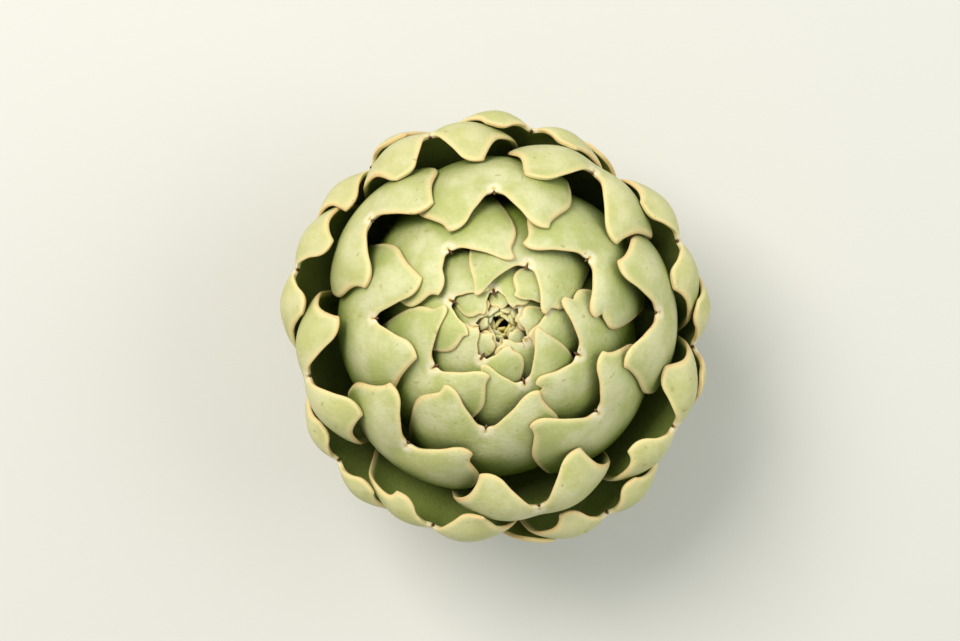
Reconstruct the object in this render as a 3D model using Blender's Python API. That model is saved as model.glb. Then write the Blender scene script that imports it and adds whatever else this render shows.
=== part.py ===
"""Globe artichoke head as picked, standing on its trimmed stem.

Metres, +Z up. The origin is on the surface that the cut stem stands on, under the
middle of the head.
The head is a receptacle on a short stem, wrapped in scale-like bracts. Each bract
is its own solid. The bracts follow one another round the axis by the golden angle,
and bract 1 is the innermost. Each bract starts from a shell, a surface of
revolution, and is then laid over the bracts before it so that none run into another.
"""

import math

import bmesh
import bpy
import numpy as np

# Driving dimensions
CENTRE_HEIGHT = 0.052       # widest level of the head above the cut
MM = 0.001
BRACT_COUNT = 57
GOLDEN_ANGLE = math.pi * (3 - math.sqrt(5))
FIRST_AZIMUTH = math.radians(83.2)

# How the shells change from bract to bract: bract numbers, then the value at each
SHELL_RADIUS = (
    (1, 24, 26, 29, 38, 44, 57),
    (0.0180, 0.0440, 0.0462, 0.0474, 0.0470, 0.0450, 0.0420),
)
SHELL_RISE = ((1, 5, 25, 28, 57), (0.0292, 0.0316, 0.0378, 0.0415, 0.0430))
FOOT_RADIUS = ((1, 25, 38, 57), (0.0180, 0.0225, 0.0205, 0.0146))
FOOT_DROP = ((1, 25, 38, 57), (0.0120, 0.0250, 0.0310, 0.0375))
FOOT_TUCK = ((1, 25, 30, 46, 57), (1.0, 1.0, 2.2, 2.2, 1.2))
NOTCH_ANGLE = (
    (1, 5, 9, 13, 25, 28, 38, 39, 41, 45, 57),
    (7.0, 11.0, 17.0, 28.0, 62.0, 73.0, 92.0, 103.0, 112.0, 123.0, 142.0),
)
CURL_ANGLE = ((1, 24, 26, 28, 38, 42, 57), (0.0, 4.0, 24.0, 38.0, 48.0, 24.0, 12.0))
SHIFT_X = ((25, 28), (0.0014, -0.0007))     # the inner bracts lean a little to one side
SHIFT_Y = ((25, 28), (0.0016, 0.0005))

# How the blades change from bract to bract
HALF_WIDTH = (
    (1, 5, 13, 18, 25, 38, 57),
    (0.0045, 0.0080, 0.0145, 0.0190, 0.0205, 0.0180, 0.0110),
)
LOBE_ACROSS = ((1, 5, 13, 18, 25, 38, 57), (0.0020, 0.0030, 0.0065, 0.0095, 0.0105, 0.0095, 0.0050))
LOBE_UP = ((1, 5, 13, 18, 38, 57), (0.0006, 0.0012, 0.0060, 0.0100, 0.0100, 0.0040))
LOBE_ROUND = ((1, 5, 13, 18, 25, 57), (0.0008, 0.0012, 0.0024, 0.0034, 0.0040, 0.0028))
CUPPING = ((1, 24, 27, 38, 57), (0.0012, 0.0015, 0.0045, 0.0040, 0.0030))
THICKNESS = ((1, 13, 25, 38, 57), (0.0006, 0.0011, 0.0017, 0.0016, 0.0012))
MARGIN_THINNING = 0.40      # share of the thickness lost at the blade's edge
HIDDEN_THINNING = 0.45      # share of the thickness lost down where other bracts cover it

# Sides of half a blade, from the foot to the waist under the lobe: share of the half
# width, then the height as a share of the body's length
BODY_SIDE = ((0.50, -1.0), (0.80, -0.75), (1.0, -0.45), (1.04, -0.22), (1.03, -0.10), (0.97, -0.03))

# How bracts differ from the rule, from the inside out: number, turn in degrees, notch
# lower and shell wider in mm, then how far across and up the two lobes reach, in mm
OWN_SHAPE = {
    13: (-2, 0.5, 0, (9, 8), (9, 5)),
    14: (-5, -2, 0, (11, 7), (10, 5.5)),
    15: (5, 0.5, 0, (9, 8), (12, 6.5)),
    16: (-8, -1, 0, (12, 5.5), (10.5, 5)),
    17: (2, -2, 0, (7.5, 6.5), (11.5, 8)),
    18: (1, 1, 0, (10.5, 10), (10.5, 8.5)),
    19: (-2, -1.5, 0, (12, 9), (12, 6)),
    20: (2, 2, 0, (8, 12), (8, 13)),
    21: (4, 0.5, 0, (10, 10), (13, 10)),
    22: (2, -2.5, 0, (10.5, 10), (11, 10.5)),
    23: (4, 3, 0, (13, 9), (11, 11.5)),
    24: (-2, 1, 0, (11.5, 11.5), (11.5, 12)),
    25: (-2, 2, 0, (13, 11), (10, 13)),
    26: (2, 0, 4.5, (11, 13), (11, 12)),
    27: (-1, 0, 2.0, (10.5, 14), (13, 12)),
    28: (-1, 0, 3.0, (11, 12), (10.5, 12)),
    29: (-2, 0, 7.0, (10, 12), (9, 9)),
    30: (-3, 0, 5.0, (8.5, 13), (9, 12)),
    31: (5, 0, 6.5, (9, 12), (9, 8)),
    32: (-1, 0, 6.0, (10, 10), (8.5, 10)),
    33: (0, 0, 5.5, (8, 10), (7.5, 10)),
    34: (1, 0, 9.5, (8.5, 9), (8.5, 9)),
    35: (0, 0, 4.5, (8.5, 9), (9.5, 9)),
    36: (5, 0, 5.5, (9.5, 9), (8, 9)),
    37: (1, 0, 3.0, (8, 9), (8, 9)),
    38: (-4, 0, 1.5, (9, 9), (8, 9)),
    39: (0, 0, -8.5, (9, 9), (8.5, 9)),
    40: (0, 0, -6.0, (9, 9), (8.5, 9)),
    41: (0, 0, -2.0, (9, 8.5), (8.5, 9)),
    42: (0, 0, -1.0, (8.5, 8.5), (8.5, 8.5)),
}

WAIST = 0.0003              # how far the side of a blade draws in under the lobe
LOBE_ROOT = (0.42, -0.1)    # where a lobe's axis starts: shares of the half width and its rise
LOBE_TIP_TURNS = (-90, -50, -10, 35, 80)    # degrees round a lobe's tip, from its inner side
CLEFT = ((0.0, 0.0), (0.0003, 0.0009))      # the narrow slot at the notch

HALF_COLUMNS = 3
BLADE_COLUMNS = 2 * HALF_COLUMNS
BLADE_ROWS = 7
COLUMN_CROWDING = 1.2       # above 1 puts more of the columns near the notch
ROW_CROWDING = 1.5          # above 1 puts more of the rows near the tip
CLEARANCE = 0.0010          # left between bracts where one lies over another
REACH = 0.04                # radians round a point in which the bracts beneath count
CURL_LENGTH = 0.007         # above the notch, over which the curl comes on
FLARE_LENGTH = 0.019        # below the notch, over which a wider shell widens
HIDDEN_FROM = 0.008         # below the notch, where the thinning of the hidden part starts
HIDDEN_FADE = 0.012         # length over which it comes on
AXIS_SOFTENING = 0.004      # keeps a blade from wrapping right round near the axis

STEM_RADIUS = 0.0138
STEM_FLARE_HEIGHT = 0.0125
FOOT_GAP = 0.0017           # from the receptacle's skin to the middle of a bract's foot
TURNED_STEPS = 32


def at(table, number):
    """Value of a table at a bract number."""
    return float(np.interp(number, *table))


def material(name, colour, roughness):
    made = bpy.data.materials.new(name)
    made.use_nodes = True
    shader = made.node_tree.nodes["Principled BSDF"]
    shader.inputs["Base Color"].default_value = (*colour, 1.0)
    shader.inputs["Roughness"].default_value = roughness
    shader.inputs["Metallic"].default_value = 0.0
    return made


def shell_profile(number):
    """Heights and radii up a bract's middle line, with the length along it from the notch."""
    radius = at(SHELL_RADIUS, number)
    foot = at(FOOT_RADIUS, number)
    drop = at(FOOT_DROP, number)
    angle = np.radians(np.linspace(180.0, 0.0, 361))
    below = angle > math.pi / 2
    tucked = foot + (radius - foot) * np.abs(np.sin(angle)) ** at(FOOT_TUCK, number)
    r = np.where(below, tucked, radius * np.sin(angle))
    z = np.where(below, drop, at(SHELL_RISE, number)) * np.cos(angle)
    step = np.hypot(np.diff(r), np.diff(z))
    length = np.concatenate([[0.0], np.cumsum(step)])
    notch = np.interp(-math.radians(at(NOTCH_ANGLE, number)), -angle, length)
    along = length - notch

    heading = np.arctan2(-np.diff(r), np.diff(z))
    bend = np.clip(along[:-1] / CURL_LENGTH, 0.0, 1.0)
    heading += math.radians(at(CURL_ANGLE, number)) * bend * bend * (3 - 2 * bend)
    r = np.concatenate([[r[0]], r[0] - np.cumsum(step * np.sin(heading))])
    z = np.concatenate([[z[0]], z[0] + np.cumsum(step * np.cos(heading))])
    return along, r, z


def curve_through(points, shares):
    """Points at the given shares of the length of a smooth curve through a few points."""
    points = np.array(points)
    ends = np.vstack([2 * points[0] - points[1], points, 2 * points[-1] - points[-2]])
    t = np.linspace(0, 1, 12, endpoint=False)[:, None]
    fine = [
        b + t * (c - a) / 2 + t**2 * (2 * a - 5 * b + 4 * c - d) / 2
        + t**3 * (3 * b - a - 3 * c + d) / 2
        for a, b, c, d in zip(ends, ends[1:], ends[2:], ends[3:])
    ]
    fine = np.vstack([*fine, points[-1:]])
    length = np.concatenate([[0], np.cumsum(np.hypot(*np.diff(fine, axis=0).T))])
    return np.array([np.interp(shares * length[-1], length, axis) for axis in fine.T]).T


def half_blade(half_width, lobe, roundness, foot):
    """Grid of flat points over half of a blade, from its middle line out to its side."""
    lobe = np.array(lobe)
    axis = lobe - (LOBE_ROOT[0] * half_width, LOBE_ROOT[1] * lobe[1])
    axis /= np.linalg.norm(axis)
    outward = np.array([axis[1], -axis[0]])
    tip = [
        lobe + roundness * (outward * math.sin(turn) + axis * (math.cos(turn) - 1))
        for turn in np.radians(LOBE_TIP_TURNS)
    ]
    inner = tip[0]
    top_points = [*CLEFT, inner * 0.30 + (0.0002, -0.0004), inner * 0.65, *tip[:4]]
    side_points = [(x * half_width, -y * foot) for x, y in BODY_SIDE]
    waist = (0.5 * (side_points[-1][0] + tip[4][0]) - WAIST, 0.45 * tip[4][1])
    side_points += [waist, tip[4], tip[3]]

    up = 1 - (1 - np.linspace(0, 1, BLADE_ROWS + 1)) ** ROW_CROWDING
    across = np.linspace(0, 1, HALF_COLUMNS + 1)
    side = curve_through(side_points, up)
    top = curve_through(top_points, across ** COLUMN_CROWDING)
    middle = np.stack([0 * up, foot * (1 - up)], axis=1)
    bottom = np.stack([across ** COLUMN_CROWDING * side[0, 0], foot + 0 * across], axis=1)
    u = (across ** COLUMN_CROWDING)[None, :, None]
    v = up[:, None, None]
    corners = (
        (1 - u) * (1 - v) * bottom[0] + u * (1 - v) * bottom[-1]
        + (1 - u) * v * top[0] + u * v * top[-1]
    )
    return (
        (1 - u) * middle[:, None] + u * side[:, None]
        + (1 - v) * bottom[None] + v * top[None] - corners
    )


def between(cells, parts):
    """Weights that blend the corners of a row of cells into points along the row."""
    points = np.linspace(0, cells, cells * parts + 1)
    return np.array([np.interp(points, range(cells + 1), row) for row in np.eye(cells + 1)]).T


def lay_over(beneath, directions, distance, half_thickness):
    """Lift a blade away from the centre until it clears every bract laid before it."""
    blend = np.kron(between(BLADE_ROWS, 5), between(BLADE_COLUMNS, 4))
    points = blend @ directions
    points /= np.linalg.norm(points, axis=1)[:, None]
    thickness = blend @ half_thickness
    needed = np.zeros(len(points))
    for laid, tops in beneath:
        near = points @ laid.T > math.cos(REACH)
        needed = np.maximum(needed, np.where(near, tops, 0.0).max(axis=1))
    needed = np.where(needed > 0, needed + thickness + CLEARANCE, 0.0)
    for _ in range(60):
        short = np.clip(needed - blend @ distance, 0.0, None)
        distance = distance + (blend * short[:, None]).max(axis=0)
    beneath.append((points, blend @ distance + thickness))
    return distance


def bract(number, finish, beneath):
    """One bract: a notched blade, flat as a grid, laid on its shell and given its thickness."""
    usual = (at(LOBE_ACROSS, number) / MM, at(LOBE_UP, number) / MM)
    turn, lower, wider, first_lobe, second_lobe = OWN_SHAPE.get(number, (0, 0, 0, usual, usual))
    along, shell_r, shell_z = shell_profile(number)
    along = along + lower * MM
    flare = np.clip((along + FLARE_LENGTH) / FLARE_LENGTH, 0, 1)
    shell_r = shell_r + wider * MM * flare * flare * (3 - 2 * flare)
    azimuth = FIRST_AZIMUTH + (number - 1) * GOLDEN_ANGLE + math.radians(turn)
    half_width = at(HALF_WIDTH, number)
    foot = along[0]
    halves = [
        half_blade(half_width, np.array(lobe) * MM, at(LOBE_ROUND, number), foot)
        for lobe in (first_lobe, second_lobe)
    ]
    flat = np.concatenate([halves[1][:, :0:-1] * (-1, 1), halves[0]], axis=1).reshape(-1, 2)
    x, y = flat.T

    r = np.interp(y, along, shell_r) - at(CUPPING, number) * (x / half_width) ** 2
    z = np.interp(y, along, shell_z)
    around = azimuth + x / np.hypot(r, AXIS_SOFTENING)
    lean = 1 - y / foot
    places = np.stack([
        r * np.cos(around) + at(SHIFT_X, number) * lean,
        r * np.sin(around) + at(SHIFT_Y, number) * lean,
        z,
    ], axis=-1)

    blade = bmesh.new()
    bmesh.ops.create_grid(blade, x_segments=BLADE_COLUMNS, y_segments=BLADE_ROWS, size=1.0)
    weights = blade.verts.layers.deform.verify()
    rows = sorted(blade.verts, key=lambda vertex: (round(vertex.co.y, 4), vertex.co.x))
    for vertex, height in zip(rows, y):
        edge = max(abs(vertex.co.x), (1 + vertex.co.y) / 2) ** 8
        hidden = min(max((-height - HIDDEN_FROM) / HIDDEN_FADE, 0.0), 1.0)
        vertex[weights][0] = (1 - MARGIN_THINNING * edge) * (1 - HIDDEN_THINNING * hidden)

    distance = np.linalg.norm(places, axis=1)
    directions = places / distance[:, None]
    half_thickness = np.array([vertex[weights][0] for vertex in rows]) * at(THICKNESS, number) / 2
    distance = lay_over(beneath, directions, distance, half_thickness * 1.1)
    for vertex, place in zip(rows, directions * distance[:, None]):
        vertex.co = (place[0], place[1], place[2] + CENTRE_HEIGHT)

    name = f"bract_{number:02d}"
    mesh = bpy.data.meshes.new(name)
    blade.to_mesh(mesh)
    blade.free()
    mesh.shade_smooth()
    mesh.materials.append(finish)
    obj = bpy.data.objects.new(name, mesh)
    bpy.context.collection.objects.link(obj)
    obj.vertex_groups.new(name="thickness")
    wall = obj.modifiers.new("Wall", "SOLIDIFY")
    wall.thickness = at(THICKNESS, number)
    wall.offset = 0.0
    wall.vertex_group = "thickness"
    return obj


def receptacle(finish):
    """Heart and stem in one piece: a turned body whose top is the bowl that bears the bracts."""
    outline = [(0.0, 0.0), (STEM_RADIUS, 0.0), (STEM_RADIUS, STEM_FLARE_HEIGHT)]
    for number in range(BRACT_COUNT, 0, -7):
        height = CENTRE_HEIGHT - at(FOOT_DROP, number)
        outline.append((at(FOOT_RADIUS, number) - FOOT_GAP, height))
    outline.append((0.0, height))

    mesh = bmesh.new()
    ring = [mesh.verts.new((r, 0.0, z)) for r, z in outline]
    edges = [mesh.edges.new(pair) for pair in zip(ring, ring[1:])]
    bmesh.ops.spin(
        mesh,
        geom=ring + edges,
        cent=(0, 0, 0),
        axis=(0, 0, 1),
        angle=2 * math.pi,
        steps=TURNED_STEPS,
    )
    bmesh.ops.remove_doubles(mesh, verts=mesh.verts, dist=1e-6)
    bmesh.ops.recalc_face_normals(mesh, faces=mesh.faces)
    data = bpy.data.meshes.new("receptacle")
    mesh.to_mesh(data)
    mesh.free()
    data.shade_smooth()
    data.set_sharp_from_angle(angle=math.radians(40))
    data.materials.append(finish)
    obj = bpy.data.objects.new("receptacle", data)
    bpy.context.collection.objects.link(obj)
    return obj


def main():
    for obj in list(bpy.data.objects):
        bpy.data.objects.remove(obj)
    green = material("bract_skin", (0.50, 0.56, 0.26), 0.55)
    pale = material("receptacle_flesh", (0.47, 0.52, 0.27), 0.65)
    receptacle(pale)
    beneath = []
    for number in range(1, BRACT_COUNT + 1):
        bract(number, green, beneath)


main()
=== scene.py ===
"""Globe artichoke head as picked, standing on its trimmed stem.

Metres, +Z up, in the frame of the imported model. Sections: bracts, spines, crown tips,
receptacle and stem, then the floor, light and camera.
"""

import math

import bpy
import numpy as np
from mathutils import Matrix, Vector
from mathutils.bvhtree import BVHTree


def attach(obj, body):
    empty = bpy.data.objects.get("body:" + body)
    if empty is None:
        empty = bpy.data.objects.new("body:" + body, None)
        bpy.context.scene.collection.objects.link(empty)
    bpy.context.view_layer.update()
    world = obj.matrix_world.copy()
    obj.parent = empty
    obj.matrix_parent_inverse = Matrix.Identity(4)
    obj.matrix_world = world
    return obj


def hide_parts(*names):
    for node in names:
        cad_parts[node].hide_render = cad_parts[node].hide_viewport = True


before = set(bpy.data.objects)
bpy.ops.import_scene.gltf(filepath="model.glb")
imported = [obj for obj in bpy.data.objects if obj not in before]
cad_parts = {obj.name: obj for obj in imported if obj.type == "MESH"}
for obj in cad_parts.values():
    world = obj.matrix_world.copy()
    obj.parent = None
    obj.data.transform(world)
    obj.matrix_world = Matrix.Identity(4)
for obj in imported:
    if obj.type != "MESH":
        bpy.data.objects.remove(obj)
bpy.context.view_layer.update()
bpy.ops.object.select_all(action="DESELECT")


# Bracts
# The fleshy scales of the head, waxy green skin over pale flesh. Each grows from the
# receptacle, follows the last one round by the golden angle, and lies over those before it.
CENTRE_HEIGHT = 0.052       # widest level of the head above the cut
MM = 0.001
BRACT_COUNT = 57
GOLDEN_ANGLE = math.pi * (3 - math.sqrt(5))
FIRST_AZIMUTH = math.radians(83.2)

# How the shells under the bracts change: bract numbers, then the value at each
SHELL_RADIUS = (
    (1, 24, 26, 29, 38, 44, 57),
    (0.0180, 0.0448, 0.0462, 0.0468, 0.0460, 0.0440, 0.0410),
)
SHELL_RISE = ((1, 5, 25, 57), (0.0320, 0.0355, 0.0415, 0.0430))
FOOT_RADIUS = ((1, 25, 38, 57), (0.0180, 0.0225, 0.0205, 0.0146))
FOOT_DROP = ((1, 25, 38, 57), (0.0120, 0.0250, 0.0310, 0.0375))
FOOT_TUCK = ((1, 25, 30, 46, 57), (1.0, 1.0, 2.2, 2.2, 1.2))
NOTCH_ANGLE = (
    (1, 5, 9, 13, 25, 28, 38, 39, 41, 45, 57),
    (7.0, 11.0, 17.0, 28.0, 62.0, 73.0, 92.0, 103.0, 112.0, 123.0, 142.0),
)
CURL_ANGLE = ((1, 24, 26, 28, 38, 42, 57), (0.0, 4.0, 24.0, 38.0, 48.0, 24.0, 12.0))
SHIFT_X = ((25, 28), (0.0014, -0.0007))     # the inner bracts lean a little to one side
SHIFT_Y = ((25, 28), (0.0016, 0.0005))

# How the blades change from bract to bract
HALF_WIDTH = (
    (1, 5, 13, 18, 25, 38, 57),
    (0.0045, 0.0080, 0.0145, 0.0190, 0.0205, 0.0180, 0.0110),
)
LOBE_ACROSS = ((1, 5, 13, 18, 25, 38, 57), (0.0020, 0.0030, 0.0065, 0.0095, 0.0105, 0.0095, 0.0050))
LOBE_UP = ((1, 5, 13, 18, 38, 57), (0.0006, 0.0012, 0.0060, 0.0100, 0.0100, 0.0040))
LOBE_ROUND = ((1, 5, 13, 18, 25, 57), (0.0008, 0.0012, 0.0024, 0.0034, 0.0040, 0.0028))
CUPPING = ((1, 24, 27, 38, 57), (0.0012, 0.0015, 0.0045, 0.0040, 0.0030))
THICKNESS = ((1, 13, 25, 38, 57), (0.0006, 0.0011, 0.0017, 0.0016, 0.0012))
MARGIN_THINNING = 0.40      # share of the thickness lost at the blade's edge
HIDDEN_THINNING = 0.45      # share of the thickness lost down where other bracts cover it

# Sides of half a blade, from the foot to the waist under the lobe: share of the half
# width, then the height as a share of the body's length
BODY_SIDE = ((0.50, -1.0), (0.80, -0.75), (1.0, -0.45), (1.04, -0.22), (1.03, -0.10), (0.97, -0.03))

# How bracts differ from the rule, from the inside out: number, turn in degrees, notch
# lower and shell wider in mm, then how far across and up the two lobes reach, in mm
OWN_SHAPE = {
    13: (-2, 0.5, 0, (9, 8), (9, 5)),
    14: (-5, -2, 0, (11, 7), (10, 5.5)),
    15: (5, 0.5, 0, (9, 8), (12, 6.5)),
    16: (-8, -1, 0, (12, 5.5), (10.5, 5)),
    17: (2, -2, 0, (7.5, 6.5), (11.5, 8)),
    18: (1, 1, 0, (10.5, 10), (10.5, 8.5)),
    19: (-2, -1.5, 0, (12, 9), (12, 6)),
    20: (2, 2, 0, (8, 12), (8, 13)),
    21: (4, 0.5, 0, (10, 10), (13, 10)),
    22: (2, -2.5, 0, (10.5, 10), (11, 10.5)),
    23: (4, 3, 0, (13, 9), (11, 11.5)),
    24: (-2, 1, 0, (11.5, 11.5), (11.5, 12)),
    25: (-2, 2, 0, (13, 11), (10, 13)),
    26: (2, 0, 4.5, (11, 13), (11, 12)),
    27: (-1, 0, 2.0, (10.5, 14), (13, 12)),
    28: (-1, 0, 3.0, (11, 12), (10.5, 12)),
    29: (-2, 0, 7.0, (10, 12), (9, 9)),
    30: (-3, 0, 5.0, (8.5, 13), (9, 12)),
    31: (5, 0, 6.5, (9, 12), (9, 8)),
    32: (-1, 0, 6.0, (10, 10), (8.5, 10)),
    33: (0, 0, 5.5, (8, 10), (7.5, 10)),
    34: (1, 0, 9.5, (8.5, 9), (8.5, 9)),
    35: (0, 0, 4.5, (8.5, 9), (9.5, 9)),
    36: (5, 0, 5.5, (9.5, 9), (8, 9)),
    37: (1, 0, 3.0, (8, 9), (8, 9)),
    38: (-4, 0, 1.5, (9, 9), (8, 9)),
    39: (0, 0, -8.5, (9, 9), (8.5, 9)),
    40: (0, 0, -6.0, (9, 9), (8.5, 9)),
    41: (0, 0, -2.0, (9, 8.5), (8.5, 9)),
    42: (0, 0, -1.0, (8.5, 8.5), (8.5, 8.5)),
}

WAIST = 0.0003              # how far the side of a blade draws in under the lobe
WAIST_HEIGHT = 0.45         # as a share of the height of the lobe's outer corner
LOBE_ROOT = (0.42, -0.1)    # where a lobe's axis starts: shares of the half width and its rise
LOBE_INNER_SIDE = (0.30, 0.65)              # points between notch and lobe, as shares of the way
LOBE_INNER_SAG = (0.0002, -0.0004)          # how far the first of them hangs off the straight line
LOBE_TIP_TURNS = (-90, -50, -10, 35, 80)    # degrees round a lobe's tip, from its inner side
CLEFT = ((0.0, 0.0), (0.0003, 0.0009))      # the narrow slot at the notch

HALF_COLUMNS = 12
BLADE_ROWS = 26
COLUMN_CROWDING = 1.35      # above 1 puts more of the columns near the notch
ROW_CROWDING = 1.7          # above 1 puts more of the rows near the tip
CLEARANCE = 0.00012         # left between bracts where one lies over another
CURL_LENGTH = 0.007         # above the notch, over which the curl comes on
FLARE_LENGTH = 0.019        # below the notch, over which a wider shell widens
AXIS_SOFTENING = 0.004      # keeps a blade from wrapping right round near the axis
SPREADING = 60              # steps over which a lift spreads through a blade

# Relief of a blade's outer face, in shares of its thickness. Places are shares of the half
# width across and of the lobe's height up, each a middle and a spread.
SWELL = 0.55                # raised in each lobe
SWELL_ACROSS = (0.48, 0.26)
SWELL_UP = (0.1, 0.9)
VALLEY = 0.35               # sunk down the middle line, below the notch
VALLEY_ACROSS = 0.16
VALLEY_UP = (-0.3, 0.5)
ROLL = 0.35                 # sunk at the rolled rim
ROLL_REACH = 0.0012
MARGIN_REACH = 0.0015       # over which a blade thins towards its edge
HIDDEN_FROM = 0.008         # below the notch, where the covered part starts to thin
HIDDEN_FADE = 0.012


def at(table, number):
    """Value of a table at a bract number."""
    return float(np.interp(number, *table))


def shell_profile(number):
    """Heights and radii up a bract's middle line, with the length along it from the notch."""
    radius = at(SHELL_RADIUS, number)
    foot = at(FOOT_RADIUS, number)
    drop = at(FOOT_DROP, number)
    angle = np.radians(np.linspace(180.0, 0.0, 361))
    below = angle > math.pi / 2
    tucked = foot + (radius - foot) * np.abs(np.sin(angle)) ** at(FOOT_TUCK, number)
    r = np.where(below, tucked, radius * np.sin(angle))
    z = np.where(below, drop, at(SHELL_RISE, number)) * np.cos(angle)
    step = np.hypot(np.diff(r), np.diff(z))
    length = np.concatenate([[0.0], np.cumsum(step)])
    notch = np.interp(-math.radians(at(NOTCH_ANGLE, number)), -angle, length)
    along = length - notch

    heading = np.arctan2(-np.diff(r), np.diff(z))
    bend = np.clip(along[:-1] / CURL_LENGTH, 0.0, 1.0)
    heading += math.radians(at(CURL_ANGLE, number)) * bend * bend * (3 - 2 * bend)
    r = np.concatenate([[r[0]], r[0] - np.cumsum(step * np.sin(heading))])
    z = np.concatenate([[z[0]], z[0] + np.cumsum(step * np.cos(heading))])
    return along, r, z


def curve_through(points, shares):
    """Points at the given shares of the length of a smooth curve through a few points."""
    points = np.array(points)
    ends = np.vstack([2 * points[0] - points[1], points, 2 * points[-1] - points[-2]])
    t = np.linspace(0, 1, 12, endpoint=False)[:, None]
    fine = [
        b + t * (c - a) / 2 + t**2 * (2 * a - 5 * b + 4 * c - d) / 2
        + t**3 * (3 * b - a - 3 * c + d) / 2
        for a, b, c, d in zip(ends, ends[1:], ends[2:], ends[3:])
    ]
    fine = np.vstack([*fine, points[-1:]])
    length = np.concatenate([[0], np.cumsum(np.hypot(*np.diff(fine, axis=0).T))])
    return np.array([np.interp(shares * length[-1], length, axis) for axis in fine.T]).T


def half_blade(half_width, lobe, roundness, foot):
    """Grid of flat points over half of a blade, from its middle line out to its side."""
    lobe = np.array(lobe)
    axis = lobe - (LOBE_ROOT[0] * half_width, LOBE_ROOT[1] * lobe[1])
    axis /= np.linalg.norm(axis)
    outward = np.array([axis[1], -axis[0]])
    tip = [
        lobe + roundness * (outward * math.sin(turn) + axis * (math.cos(turn) - 1))
        for turn in np.radians(LOBE_TIP_TURNS)
    ]
    inner = tip[0]
    first, second = LOBE_INNER_SIDE
    top_points = [*CLEFT, inner * first + LOBE_INNER_SAG, inner * second, *tip[:4]]
    side_points = [(x * half_width, -y * foot) for x, y in BODY_SIDE]
    waist = (0.5 * (side_points[-1][0] + tip[4][0]) - WAIST, WAIST_HEIGHT * tip[4][1])
    side_points += [waist, tip[4], tip[3]]

    up = 1 - (1 - np.linspace(0, 1, BLADE_ROWS + 1)) ** ROW_CROWDING
    across = np.linspace(0, 1, HALF_COLUMNS + 1)
    side = curve_through(side_points, up)
    top = curve_through(top_points, across ** COLUMN_CROWDING)
    middle = np.stack([0 * up, foot * (1 - up)], axis=1)
    bottom = np.stack([across ** COLUMN_CROWDING * side[0, 0], foot + 0 * across], axis=1)
    u = (across ** COLUMN_CROWDING)[None, :, None]
    v = up[:, None, None]
    corners = (
        (1 - u) * (1 - v) * bottom[0] + u * (1 - v) * bottom[-1]
        + (1 - u) * v * top[0] + u * v * top[-1]
    )
    return (
        (1 - u) * middle[:, None] + u * side[:, None]
        + (1 - v) * bottom[None] + v * top[None] - corners
    )


def mean_of_neighbours(grid):
    """Each value of a grid replaced by the mean of the four beside it."""
    wide = np.pad(grid, 1, mode="edge")
    return (wide[:-2, 1:-1] + wide[2:, 1:-1] + wide[1:-1, :-2] + wide[1:-1, 2:]) / 4


def most_of_neighbours(grid):
    """Each value of a grid replaced by the greatest of the nine round it."""
    wide = np.pad(grid, 1, mode="edge")
    rows, columns = grid.shape
    return np.max([wide[i:i + rows, j:j + columns] for i in range(3) for j in range(3)], axis=0)


OUTSIDE = 0.2               # a distance from the head's centre that is clear of every bract


def surface_over(tree, directions):
    """Distance of the outermost surface in each direction from the head's centre, or 0."""
    found = np.zeros(directions.shape[:-1])
    for place in np.ndindex(found.shape):
        direction = directions[place]
        hit = tree.ray_cast(direction * OUTSIDE, -direction)
        if hit[3] is not None:
            found[place] = OUTSIDE - hit[3]
    return found


def finer(grid):
    """A grid with one more point between each two of its points, both ways."""
    for axis in (0, 1):
        first = np.take(grid, range(grid.shape[axis] - 1), axis)
        last = np.take(grid, range(1, grid.shape[axis]), axis)
        shape = list(grid.shape)
        shape[axis] = 2 * shape[axis] - 1
        doubled = np.zeros(shape)
        even = [slice(None)] * grid.ndim
        odd = [slice(None)] * grid.ndim
        even[axis] = slice(0, None, 2)
        odd[axis] = slice(1, None, 2)
        doubled[tuple(even)] = grid
        doubled[tuple(odd)] = (first + last) / 2
        grid = doubled
    return grid


def lay_over(tree, places, half_thickness):
    """Lift a blade until it lies on the bracts beneath it, as a skin stretched over them."""
    if tree is None:
        return places
    distance = np.linalg.norm(places, axis=-1)
    directions = places / distance[..., None]
    fine = finer(places)
    fine /= np.linalg.norm(fine, axis=-1)[..., None]
    reach = most_of_neighbours(surface_over(tree, fine))[::2, ::2]
    needed = np.where(reach > 0, reach + half_thickness + CLEARANCE - distance, -1.0)
    lift = np.clip(needed, 0.0, None)
    for _ in range(SPREADING):
        lift = np.maximum(needed, np.clip(mean_of_neighbours(lift), 0.0, None))
    return places + directions * lift[..., None]


def grid_faces(rows, columns):
    """Faces of a grid of points, as numbers counted along its rows."""
    return [
        (i * columns + j, i * columns + j + 1, (i + 1) * columns + j + 1, (i + 1) * columns + j)
        for i in range(rows - 1) for j in range(columns - 1)
    ]


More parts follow.
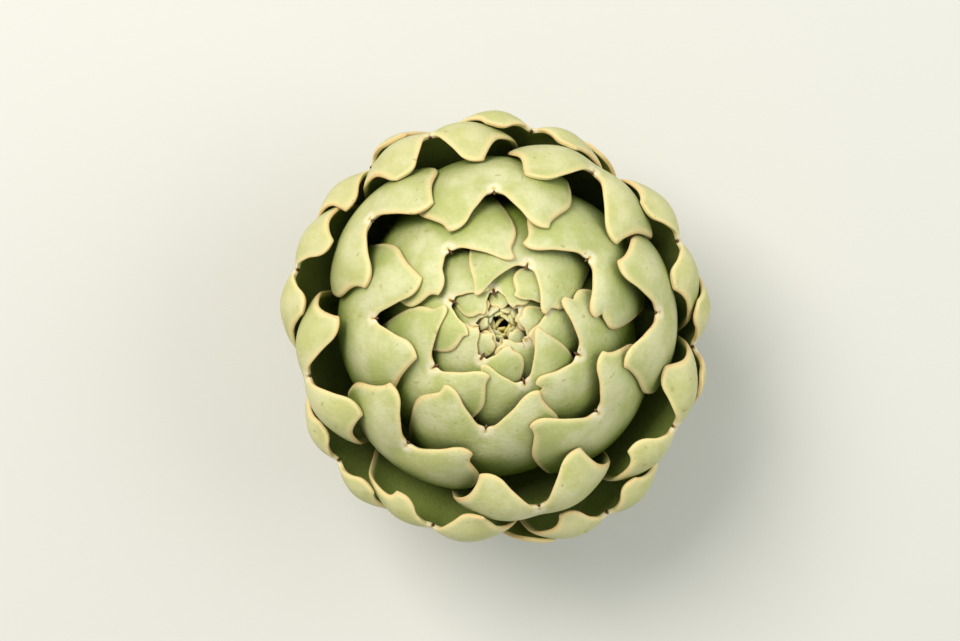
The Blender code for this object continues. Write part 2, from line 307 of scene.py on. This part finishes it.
FACES = grid_faces(BLADE_ROWS + 1, 2 * HALF_COLUMNS + 1)
blades = {}
laid_points = []
laid_faces = []
for number in range(1, BRACT_COUNT + 1):
    usual = (at(LOBE_ACROSS, number) / MM, at(LOBE_UP, number) / MM)
    turn, lower, wider, first_lobe, second_lobe = OWN_SHAPE.get(number, (0, 0, 0, usual, usual))
    along, shell_r, shell_z = shell_profile(number)
    along = along + lower * MM
    flare = np.clip((along + FLARE_LENGTH) / FLARE_LENGTH, 0, 1)
    shell_r = shell_r + wider * MM * flare * flare * (3 - 2 * flare)
    azimuth = FIRST_AZIMUTH + (number - 1) * GOLDEN_ANGLE + math.radians(turn)
    half_width = at(HALF_WIDTH, number)
    roundness = at(LOBE_ROUND, number)
    foot = along[0]
    halves = [
        half_blade(half_width, np.array(lobe) * MM, roundness, foot)
        for lobe in (first_lobe, second_lobe)
    ]
    flat = np.concatenate([halves[1][:, :0:-1] * (-1, 1), halves[0]], axis=1)
    x, y = flat[..., 0], flat[..., 1]
    lobe = at(LOBE_UP, number)

    outline = np.concatenate([flat[:, 0], flat[-1], flat[:, -1]])
    margin = np.linalg.norm(flat[:, :, None] - outline, axis=-1).min(axis=-1)
    swell = np.exp(
        -((np.abs(x) / half_width - SWELL_ACROSS[0]) / SWELL_ACROSS[1]) ** 2
        - ((y / lobe - SWELL_UP[0]) / SWELL_UP[1]) ** 2
    )
    valley = np.exp(
        -(x / (VALLEY_ACROSS * half_width)) ** 2
        - ((y / lobe - VALLEY_UP[0]) / VALLEY_UP[1]) ** 2
    )
    rolled = np.exp(-margin / ROLL_REACH)
    relief = at(THICKNESS, number) * (SWELL * swell - VALLEY * valley - ROLL * rolled)

    r = np.interp(y, along, shell_r) - at(CUPPING, number) * (x / half_width) ** 2
    z = np.interp(y, along, shell_z)
    turn = azimuth + x / np.hypot(r, AXIS_SOFTENING)
    lean = 1 - y / foot
    places = np.stack([
        r * np.cos(turn) + at(SHIFT_X, number) * lean,
        r * np.sin(turn) + at(SHIFT_Y, number) * lean,
        z,
    ], axis=-1)
    length = np.linalg.norm(places, axis=-1)[..., None]
    places += places / length * relief[..., None]
    weight = 1 - MARGIN_THINNING * np.exp(-margin / MARGIN_REACH)
    weight *= 1 - HIDDEN_THINNING * np.clip((-y - HIDDEN_FROM) / HIDDEN_FADE, 0, 1)
    half_thickness = weight * at(THICKNESS, number) / 2

    tree = BVHTree.FromPolygons(laid_points, laid_faces) if laid_faces else None
    places = lay_over(tree, places, half_thickness)
    length = np.linalg.norm(places, axis=-1)[..., None]
    tops = places * (1 + half_thickness[..., None] / length)
    first = len(laid_points)
    laid_points += tops.reshape(-1, 3).tolist()
    laid_faces += [tuple(first + corner for corner in face) for face in FACES]
    blades[number] = (places, flat, margin, weight)

everything = BVHTree.FromPolygons(laid_points, laid_faces)
# Where later bracts lie over a bract, its skin gets painted shade; these set what counts as
# covered.
COVER_HEIGHT = 0.0022       # a point with a surface this far above it counts as covered
COVER_SOFTENING = 5         # steps that soften the edge of the covered part


def tuck_depth(number):
    """How far each point lies under the bracts laid over it, from 0 in the open to 1."""
    places = blades[number][0]
    distance = np.linalg.norm(places, axis=-1)
    above = surface_over(everything, places / distance[..., None]) - distance
    hidden = (above > COVER_HEIGHT).astype(float)
    for _ in range(COVER_SOFTENING):
        hidden = mean_of_neighbours(hidden)
    return hidden


def mixed(tree, factor, first, second):
    """Mix two colours, each a socket or an RGB triple, by a socket or a number."""
    mix = tree.nodes.new("ShaderNodeMix")
    mix.data_type = "RGBA"
    for name, value in (("Factor", factor), ("A", first), ("B", second)):
        socket = [each for each in mix.inputs if each.name == name and each.enabled][0]
        if hasattr(value, "links"):
            tree.links.new(value, socket)
        elif name == "Factor":
            socket.default_value = value
        else:
            socket.default_value = (*value, 1.0)
    return [each for each in mix.outputs if each.enabled][0]


def attribute(tree, name):
    """Value of one of a piece's own attributes."""
    made = tree.nodes.new("ShaderNodeAttribute")
    made.attribute_name = name
    return made.outputs["Fac"]


def ramp(tree, factor, *stops):
    """Map a value to greys: each stop is a place from 0 to 1 and its level."""
    made = tree.nodes.new("ShaderNodeValToRGB")
    made.color_ramp.interpolation = "EASE"
    points = made.color_ramp.elements
    while len(points) < len(stops):
        points.new(0.5)
    for point, (place, level) in zip(points, stops):
        point.position = place
        point.color = (level, level, level, 1.0)
    tree.links.new(factor, made.inputs["Fac"])
    return made.outputs["Color"]


def noise(tree, vector, scale, detail, roughness):
    """Soft random pattern."""
    made = tree.nodes.new("ShaderNodeTexNoise")
    made.inputs["Scale"].default_value = scale
    made.inputs["Detail"].default_value = detail
    made.inputs["Roughness"].default_value = roughness
    tree.links.new(vector, made.inputs["Vector"])
    return made.outputs["Fac"]


def calculated(tree, operation, first, second):
    """A Math node on two values, each a socket or a number."""
    made = tree.nodes.new("ShaderNodeMath")
    made.operation = operation
    for socket, value in zip(made.inputs, (first, second)):
        if hasattr(value, "links"):
            tree.links.new(value, socket)
        else:
            socket.default_value = value
    return made.outputs["Value"]


# Unevenness that all the plant's surfaces share, as one node group: clouds are the waxy
# bloom's patches, stipple the fine grain of the skin, specks its few small brown marks and
# streaks its fine veins. A noise has its scale, detail and roughness, and a fade two stops.
CLOUD_NOISE = (95.0, 5.0, 0.62)
CLOUD_FADE = ((0.36, 0.0), (0.64, 1.0))
STIPPLE_NOISE = (1300.0, 2.0, 0.5)
STIPPLE_FADE = ((0.35, 0.0), (0.65, 1.0))
SPECK_NOISE = (520.0, 1.0, 0.4)
SPECK_FADE = ((0.715, 0.0), (0.76, 1.0))
STREAK_NOISE = (30.0, 6.0, 0.65)
mottle = bpy.data.node_groups.new("plant_mottle", "ShaderNodeTree")
for name in ("Clouds", "Stipple", "Specks", "Streaks"):
    mottle.interface.new_socket(name, in_out="OUTPUT", socket_type="NodeSocketFloat")
mottle.interface.new_socket("Place", in_out="INPUT", socket_type="NodeSocketVector")
mottle.interface.new_socket("Pattern", in_out="INPUT", socket_type="NodeSocketVector")
put_in = mottle.nodes.new("NodeGroupInput")
given = mottle.nodes.new("NodeGroupOutput")
clouds = noise(mottle, put_in.outputs["Place"], *CLOUD_NOISE)
mottle.links.new(ramp(mottle, clouds, *CLOUD_FADE), given.inputs["Clouds"])
stipple = noise(mottle, put_in.outputs["Place"], *STIPPLE_NOISE)
mottle.links.new(ramp(mottle, stipple, *STIPPLE_FADE), given.inputs["Stipple"])
specks = noise(mottle, put_in.outputs["Place"], *SPECK_NOISE)
mottle.links.new(ramp(mottle, specks, *SPECK_FADE), given.inputs["Specks"])
streaks = noise(mottle, put_in.outputs["Pattern"], *STREAK_NOISE)
mottle.links.new(streaks, given.inputs["Streaks"])
SHEEN = 0.30                # specular level of the plant's skin
GRAIN_STRENGTH = 0.30       # how much of the grain's relief shows
GRAIN_DEPTH = 0.00015


def plant_material(name, roughness, stretch):
    """New material with its shader, and the shared mottle with its streaks drawn out lengthways."""
    made = bpy.data.materials.new(name)
    made.use_nodes = True
    tree = made.node_tree
    shader = tree.nodes["Principled BSDF"]
    shader.inputs["Roughness"].default_value = roughness
    shader.inputs["Specular IOR Level"].default_value = SHEEN
    place = tree.nodes.new("ShaderNodeTexCoord")
    stretched = tree.nodes.new("ShaderNodeMapping")
    stretched.inputs["Scale"].default_value = stretch
    tree.links.new(place.outputs["UV"], stretched.inputs["Vector"])
    marks = tree.nodes.new("ShaderNodeGroup")
    marks.node_tree = mottle
    tree.links.new(place.outputs["Object"], marks.inputs["Place"])
    tree.links.new(stretched.outputs["Vector"], marks.inputs["Pattern"])
    grain = calculated(tree, "ADD", marks.outputs["Streaks"], marks.outputs["Stipple"])
    bump = tree.nodes.new("ShaderNodeBump")
    bump.inputs["Strength"].default_value = GRAIN_STRENGTH
    bump.inputs["Distance"].default_value = GRAIN_DEPTH
    tree.links.new(grain, bump.inputs["Height"])
    tree.links.new(bump.outputs["Normal"], shader.inputs["Normal"])
    return made, tree, shader, marks


RIM_WIDTH = 0.11            # how far the cream rim reaches in, as a share of the half width
NOTCH_REACH = 0.0040        # how far the marks round a notch reach
AGE_BETWEEN = (20, 30)      # bract numbers between which the skin turns from young to old
ALONG_BLADE = (9.0, 1.0, 1.0)               # draws the streaks out up a blade
PATTERN_SCALE = 10          # lengths of the flat pattern in its UV map

# Outer side: waxy green under a pale bloom, with painted shade, a darker green, where the bracts
# above cover it, a cream rim that blushes in places, and a pale pucker round the yellow root of the
# spine.
GREEN = (0.42, 0.46, 0.16)
BLOOM = (0.60, 0.60, 0.36)
VEIN = (0.48, 0.50, 0.19)
YELLOWED = (0.52, 0.47, 0.22)
COVERED_SHADE_GREEN = (0.18, 0.25, 0.030)
RIM = (0.74, 0.64, 0.32)
BLUSH = (0.70, 0.45, 0.21)
PUCKER = (0.76, 0.70, 0.50)
SPINE_ROOT = (0.58, 0.42, 0.07)
SPECK = (0.34, 0.28, 0.10)
VEIN_FADE = ((0.42, 0.0), (0.68, 1.0))
RIM_FADE = ((0.45, 0.0), (0.92, 0.85))
BLUSH_FADE = ((0.72, 0.0), (1.0, 0.8))
PUCKER_FADE = ((0.50, 0.0), (0.74, 0.75))
SPINE_ROOT_FADE = ((0.80, 0.0), (0.90, 0.8))
VEIN_SHARE = 0.35           # how strongly each colour comes through
STIPPLE_SHARE = 0.14
YELLOWED_SHARE = 0.40
SPECK_SHARE = 0.55
skin, tree, shader, marks = plant_material("bract_skin", 0.50, ALONG_BLADE)
shader.inputs["Subsurface Weight"].default_value = 0.10
shader.inputs["Subsurface Scale"].default_value = 0.002
shader.inputs["Subsurface Radius"].default_value = (0.8, 1.0, 0.25)
edge = attribute(tree, "edge")
notch = attribute(tree, "notch")
streaks = ramp(tree, marks.outputs["Streaks"], *VEIN_FADE)
base = mixed(tree, marks.outputs["Clouds"], GREEN, BLOOM)
base = mixed(tree, calculated(tree, "MULTIPLY", streaks, VEIN_SHARE), base, VEIN)
stippled = calculated(tree, "MULTIPLY", marks.outputs["Stipple"], STIPPLE_SHARE)
base = mixed(tree, stippled, base, BLOOM)
aged = calculated(tree, "MULTIPLY", attribute(tree, "age"), YELLOWED_SHARE)
base = mixed(tree, aged, base, YELLOWED)
# Painted shade: the skin turns dark green where the bracts laid over it cover it.
base = mixed(tree, attribute(tree, "tucked"), base, COVERED_SHADE_GREEN)
base = mixed(tree, ramp(tree, edge, *RIM_FADE), base, RIM)
blush = calculated(tree, "MULTIPLY", ramp(tree, edge, *BLUSH_FADE), marks.outputs["Clouds"])
base = mixed(tree, blush, base, BLUSH)
base = mixed(tree, ramp(tree, notch, *PUCKER_FADE), base, PUCKER)
base = mixed(tree, ramp(tree, notch, *SPINE_ROOT_FADE), base, SPINE_ROOT)
speckled = calculated(tree, "MULTIPLY", marks.outputs["Specks"], SPECK_SHARE)
base = mixed(tree, speckled, base, SPECK)
tree.links.new(base, shader.inputs["Base Color"])

# Inner side: smooth, with no bloom, and coloured a dark green as painted shade
LINING_SHADE = (0.16, 0.22, 0.035)
LINING_SHADE_PALE = (0.30, 0.36, 0.10)
INSIDE_RIM_FADE = ((0.50, 0.0), (0.95, 0.85))
lining, tree, shader, marks = plant_material("bract_lining", 0.45, ALONG_BLADE)
# Painted shade: the inner face is dark green all over, paler in streaks, with the cream rim at its
# edge.
base = mixed(tree, marks.outputs["Streaks"], LINING_SHADE, LINING_SHADE_PALE)
base = mixed(tree, ramp(tree, attribute(tree, "edge"), *INSIDE_RIM_FADE), base, RIM)
tree.links.new(base, shader.inputs["Base Color"])

for number, (places, flat, margin, weight) in blades.items():
    bpy.ops.mesh.primitive_grid_add(
        x_subdivisions=2 * HALF_COLUMNS, y_subdivisions=BLADE_ROWS, size=2, location=(0, 0, 0)
    )
    blade = bpy.context.object
    blade.name = f"leaf_scale_{number:02d}"
    mesh = blade.data
    mesh.name = blade.name
    corners = np.array([vertex.co for vertex in mesh.vertices]).round(4)
    order = np.lexsort((corners[:, 0], corners[:, 1]))
    cage = np.zeros((len(order), 3))
    cage[order] = places.reshape(-1, 3) + (0, 0, CENTRE_HEIGHT)
    mesh.vertices.foreach_set("co", cage.ravel())
    pattern = np.zeros((len(order), 2))
    pattern[order] = flat.reshape(-1, 2) * PATTERN_SCALE + 0.5
    loops = np.zeros(len(mesh.loops), int)
    mesh.loops.foreach_get("vertex_index", loops)
    mesh.uv_layers.active.data.foreach_set("uv", pattern[loops].ravel())

    levels = {
        "edge": np.exp(-margin / (RIM_WIDTH * at(HALF_WIDTH, number))),
        # how far each point is covered, which sets the painted shade
        "tucked": tuck_depth(number),
        "notch": np.exp(-np.linalg.norm(flat, axis=-1) / NOTCH_REACH),
        "age": np.full(margin.shape, np.interp(number, AGE_BETWEEN, (0.0, 1.0))),
    }
    for name, values in levels.items():
        level = np.zeros(len(order))
        level[order] = values.ravel()
        mesh.attributes.new(name, "FLOAT", "POINT").data.foreach_set("value", level)
    thickness = blade.vertex_groups.new(name="thickness")
    for vertex, share in zip(order, weight.ravel()):
        thickness.add([int(vertex)], float(share), "REPLACE")

    mesh.materials.append(skin)
    mesh.materials.append(lining)
    wall = blade.modifiers.new("Wall", "SOLIDIFY")
    wall.thickness = at(THICKNESS, number)
    wall.offset = 0.0
    wall.vertex_group = "thickness"
    wall.material_offset = 1
    smooth = blade.modifiers.new("Smooth", "SUBSURF")
    smooth.levels = 1
    smooth.render_levels = 1
    bpy.ops.object.modifier_apply(modifier="Wall")
    bpy.ops.object.modifier_apply(modifier="Smooth")
    bpy.ops.object.shade_smooth()
    blade.select_set(False)
    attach(blade, "root")
    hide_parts(f"bract_{number:02d}")


# Spines
# Each notch ends in a tiny brown spine, the dried tip of the bract's midrib. One is drawn
# out of a ring in shrinking steps, and copies are set in the notches.
SPINE_RADIUS = 0.00055
SPINE_STEPS = ((0.0005, 0.95), (0.0007, 0.80), (0.0007, 0.65), (0.0005, 0.35))  # rise, shrink
SPINE_BEND = 0.1            # shift outwards, as a share of the height
SPINE_LEAN = 0.25           # how far a spine stands off its blade
SPINE_SET_IN = 0.0004       # depth of its root in the notch
FIRST_SPINED = 9            # bracts further in have none
SPINE_BROWN = (0.070, 0.028, 0.010)
SPINE_RUSTY = (0.18, 0.085, 0.028)
thorn_skin, tree, shader, marks = plant_material("spine", 0.55, (4.0, 1.0, 1.0))
base = mixed(tree, marks.outputs["Stipple"], SPINE_BROWN, SPINE_RUSTY)
tree.links.new(base, shader.inputs["Base Color"])

bpy.ops.mesh.primitive_circle_add(
    vertices=8, radius=SPINE_RADIUS, fill_type="NGON", location=(0, 0, 0)
)
spine = bpy.context.object
spine.name = "spine"
bpy.ops.object.mode_set(mode="EDIT")
bpy.ops.mesh.select_all(action="SELECT")
height = 0.0
for rise, shrink in SPINE_STEPS:
    height += rise
    shift = SPINE_BEND * height
    bpy.ops.mesh.extrude_region_move(TRANSFORM_OT_translate={"value": (shift, 0, rise)})
    bpy.ops.transform.resize(value=(shrink, shrink, 1), center_override=(shift / 2, 0, height))
bpy.ops.mesh.select_all(action="SELECT")
bpy.ops.mesh.normals_make_consistent(inside=False)
bpy.ops.object.mode_set(mode="OBJECT")
bpy.ops.object.shade_smooth()
spine.data.materials.append(thorn_skin)
spine.select_set(False)

for number in range(FIRST_SPINED, BRACT_COUNT + 1):
    places = blades[number][0]
    root = Vector(places[-1, HALF_COLUMNS])
    upward = (root - Vector(places[-3, HALF_COLUMNS])).normalized()
    outward = root.normalized()
    upward = (upward + SPINE_LEAN * outward).normalized()
    side = upward.cross(outward).normalized()
    turn = Matrix((outward, side, upward)).transposed().to_4x4()
    place = root - SPINE_SET_IN * upward + Vector((0, 0, CENTRE_HEIGHT))
    set_in = Matrix.Translation(place) @ turn
    thorn = spine.copy()
    thorn.data = spine.data.copy()
    thorn.name = f"spine_{number:02d}"
    thorn.data.transform(set_in)
    bpy.context.collection.objects.link(thorn)
    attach(thorn, "root")
bpy.data.objects.remove(spine)


# Crown tips
# The youngest bracts, seen down the small hole at the crown: slender fleshy points, straw
# yellow at the tip and purple-brown below, with painted shade darkening them further down the hole,
# crowded round the axis.
CROWN_TIPS = 17
TIP_ROWS = 8
TIP_COLUMNS = 4
TIP_THICKNESS = 0.0009
TIP_LENGTH = 0.011
TIP_WIDTH = (0.0026, 0.0012)                # narrowest, and how much wider the widest is
TIP_TAPER = (0.90, 1.25, 0.8)               # share of the outline's curve, its length and power
TIP_RING = (0.0008, 0.0042)                 # nearest the axis, and how much further the last is
TIP_TOP = (0.0030, 0.0014, 0.30)            # depth in the crown, its unevenness, rise with the ring
TIP_SPLAY = (0.7, 0.35)     # out at the foot and in at the tip, as shares of the ring
TIP_HOLLOW = 0.35           # how strongly a tip is cupped
CROWN_BRACTS = (4, 5, 6, 7, 8)              # the bracts round the hole, whose tops are its rim
TIP_STRAW = (0.60, 0.50, 0.14)
TIP_PURPLE_AND_SHADE = (0.110, 0.055, 0.030)
TIP_FADE = ((0.12, 0.0), (0.50, 1.0))       # from straw at the tip to purple with painted shade
tip_skin, tree, shader, marks = plant_material("crown_tip", 0.55, (6.0, 1.0, 1.0))
base = mixed(tree, marks.outputs["Clouds"], TIP_STRAW, BLOOM)
# Lower down the hole the tips turn a dark purple-brown: partly their own purple, partly painted
# shade.
base = mixed(tree, ramp(tree, attribute(tree, "depth"), *TIP_FADE), base, TIP_PURPLE_AND_SHADE)
tree.links.new(base, shader.inputs["Base Color"])

crown_top = max(float(blades[number][0][..., 2].max()) for number in CROWN_BRACTS)
for count in range(CROWN_TIPS):
    bpy.ops.mesh.primitive_grid_add(
        x_subdivisions=TIP_COLUMNS, y_subdivisions=TIP_ROWS, size=1, location=(0, 0, 0)
    )
    tip = bpy.context.object
    tip.name = f"crown_tip_{count + 1:02d}"
    azimuth = FIRST_AZIMUTH + (count + 0.4) * GOLDEN_ANGLE
    ring = TIP_RING[0] + TIP_RING[1] * math.sqrt(count / CROWN_TIPS)
    top = crown_top - TIP_TOP[0] - TIP_TOP[1] * math.sin(2.3 * count) + TIP_TOP[2] * ring
    width = TIP_WIDTH[0] + TIP_WIDTH[1] * math.cos(1.7 * count) ** 2
    depths = []
    for vertex in tip.data.vertices:
        up = vertex.co.y + 0.5
        taper = math.sin(math.pi * (1 - TIP_TAPER[0] * up) / TIP_TAPER[1]) ** TIP_TAPER[2]
        across = vertex.co.x * width * 2 * taper
        splay = 1 + TIP_SPLAY[0] * (1 - up) - TIP_SPLAY[1] * up**4
        out = ring * splay - TIP_HOLLOW * across**2 / width
        vertex.co = (
            out * math.cos(azimuth) - across * math.sin(azimuth) + at(SHIFT_X, 1),
            out * math.sin(azimuth) + across * math.cos(azimuth) + at(SHIFT_Y, 1),
            CENTRE_HEIGHT + top - TIP_LENGTH * (1 - up),
        )
        depths.append(1 - up)
    tip.data.attributes.new("depth", "FLOAT", "POINT").data.foreach_set("value", depths)
    wall = tip.modifiers.new("Wall", "SOLIDIFY")
    wall.thickness = TIP_THICKNESS
    wall.offset = 0.0
    smooth = tip.modifiers.new("Smooth", "SUBSURF")
    smooth.levels = 1
    smooth.render_levels = 1
    bpy.ops.object.modifier_apply(modifier="Wall")
    bpy.ops.object.modifier_apply(modifier="Smooth")
    bpy.ops.object.shade_smooth()
    tip.data.materials.append(tip_skin)
    tip.select_set(False)
    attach(tip, "root")


# Receptacle and stem
# The heart that the bracts grow from, and its stem, in one piece of pale ribbed flesh, cut
# straight across. It is drawn up out of the cut face in rings.
STEM_RIBS = 11
STEM_RIB_DEPTH = 0.00045
STEM_RADIUS = 0.0138        # where the stem is widest, above the cut and under the head
RIBS_TO = 0.0135            # height at which the ribs end
RIBS_FROM = 0.013           # radius inside which the ribs fade out
RING_POINTS = 132
FLESH = (0.50, 0.55, 0.25)
FLESH_PALE = (0.66, 0.66, 0.40)
CUT_PITH = (0.72, 0.70, 0.50)
CUT_FIBRE = (0.42, 0.40, 0.16)
FIBRE_NOISE = (900.0, 1.0, 0.4)
FIBRE_FADE = ((0.55, 0.0), (0.68, 1.0))
FIBRE_SHARE = 0.8
FLESH_SPECK_SHARE = 0.6
STEM_RISE = (    # height above the cut, radius
    (0.0000, 0.0132), (0.0006, STEM_RADIUS), (0.0030, 0.0136), (0.0060, 0.0135), (0.0090, 0.0136),
    (0.0125, STEM_RADIUS), (0.0148, 0.0155), (0.0173, 0.0186), (0.0210, 0.0202), (0.0270, 0.0205),
    (0.0320, 0.0198), (0.0380, 0.0172), (0.0400, 0.0120),
)
flesh, tree, shader, marks = plant_material("receptacle_flesh", 0.62, (1.0, 1.0, 1.0))
base = mixed(tree, marks.outputs["Clouds"], FLESH, FLESH_PALE)
speckled = calculated(tree, "MULTIPLY", marks.outputs["Specks"], FLESH_SPECK_SHARE)
base = mixed(tree, speckled, base, SPECK)
tree.links.new(base, shader.inputs["Base Color"])

cut, tree, shader, marks = plant_material("stem_cut", 0.70, (1.0, 1.0, 1.0))
place = tree.nodes["Texture Coordinate"].outputs["Object"]
fibres = ramp(tree, noise(tree, place, *FIBRE_NOISE), *FIBRE_FADE)
base = mixed(tree, marks.outputs["Clouds"], CUT_PITH, FLESH_PALE)
base = mixed(tree, calculated(tree, "MULTIPLY", fibres, FIBRE_SHARE), base, CUT_FIBRE)
tree.links.new(base, shader.inputs["Base Color"])

bpy.ops.mesh.primitive_circle_add(
    vertices=RING_POINTS, radius=STEM_RISE[0][1], fill_type="TRIFAN", location=(0, 0, 0)
)
heart = bpy.context.object
heart.name = "heart_and_stem"
bpy.ops.object.mode_set(mode="EDIT")
bpy.ops.mesh.select_all(action="SELECT")
for (low, small), (high, large) in zip(STEM_RISE, STEM_RISE[1:]):
    bpy.ops.mesh.extrude_region_move(TRANSFORM_OT_translate={"value": (0, 0, high - low)})
    bpy.ops.transform.resize(value=(large / small, large / small, 1), center_override=(0, 0, high))
bpy.ops.mesh.select_all(action="SELECT")
bpy.ops.mesh.normals_make_consistent(inside=False)
bpy.ops.object.mode_set(mode="OBJECT")
for vertex in heart.data.vertices:
    x, y, z = vertex.co
    ribbed = math.cos(STEM_RIBS * math.atan2(y, x)) * STEM_RIB_DEPTH
    ribbed *= min(math.hypot(x, y) / RIBS_FROM, 1)
    slight = 1 - ribbed / STEM_RADIUS if z < RIBS_TO else 1.0
    vertex.co = (x * slight, y * slight, z)
heart.data.materials.append(flesh)
heart.data.materials.append(cut)
for face in heart.data.polygons:
    if face.normal.z < -0.9 and face.center.z < 0.0001:
        face.material_index = 1
smooth = heart.modifiers.new("Smooth", "SUBSURF")
smooth.levels = 1
smooth.render_levels = 1
bpy.ops.object.modifier_apply(modifier="Smooth")
bpy.ops.object.shade_smooth()
heart.select_set(False)
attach(heart, "root")
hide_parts("receptacle")


# Floor, light and camera
# A plain pale floor under soft light from the upper left, seen from straight above.
FLOOR_GREY = (0.62, 0.62, 0.60, 1)
SKY = (0.94, 0.96, 0.88, 1)
CAMERA_PLACE = (-0.0036, 0.0022, 0.552)
bpy.ops.mesh.primitive_plane_add(size=4.0, location=(0, 0, 0))
floor = bpy.context.object
floor.name = "floor"
paint = bpy.data.materials.new("floor")
paint.use_nodes = True
shader = paint.node_tree.nodes["Principled BSDF"]
shader.inputs["Base Color"].default_value = FLOOR_GREY
shader.inputs["Roughness"].default_value = 0.9
floor.data.materials.append(paint)

world = bpy.data.worlds.new("studio")
world.use_nodes = True
sky = world.node_tree.nodes["Background"]
sky.inputs["Color"].default_value = SKY
sky.inputs["Strength"].default_value = 0.56
bpy.context.scene.world = world
bpy.context.scene.view_settings.view_transform = "Standard"

for name, location, size, power, colour in (
    ("window", (-0.40, 0.38, 0.85), 0.50, 9.0, (1.0, 0.95, 0.87)),
    ("bounce", (0.62, 0.10, 0.60), 0.60, 2.6, (0.96, 0.98, 0.96)),
):
    bpy.ops.object.light_add(type="AREA", location=location)
    lamp = bpy.context.object
    lamp.name = name
    lamp.data.size = size
    lamp.data.energy = power
    lamp.data.color = colour
    aim = lamp.location.copy()
    aim.z -= CENTRE_HEIGHT
    lamp.rotation_euler = aim.to_track_quat("Z", "Y").to_euler()

bpy.ops.object.camera_add(location=CAMERA_PLACE, rotation=(0, 0, 0))
camera = bpy.context.object
camera.data.lens = 73.9
camera.data.sensor_width = 36.0
camera.data.dof.use_dof = False
bpy.context.scene.camera = camera
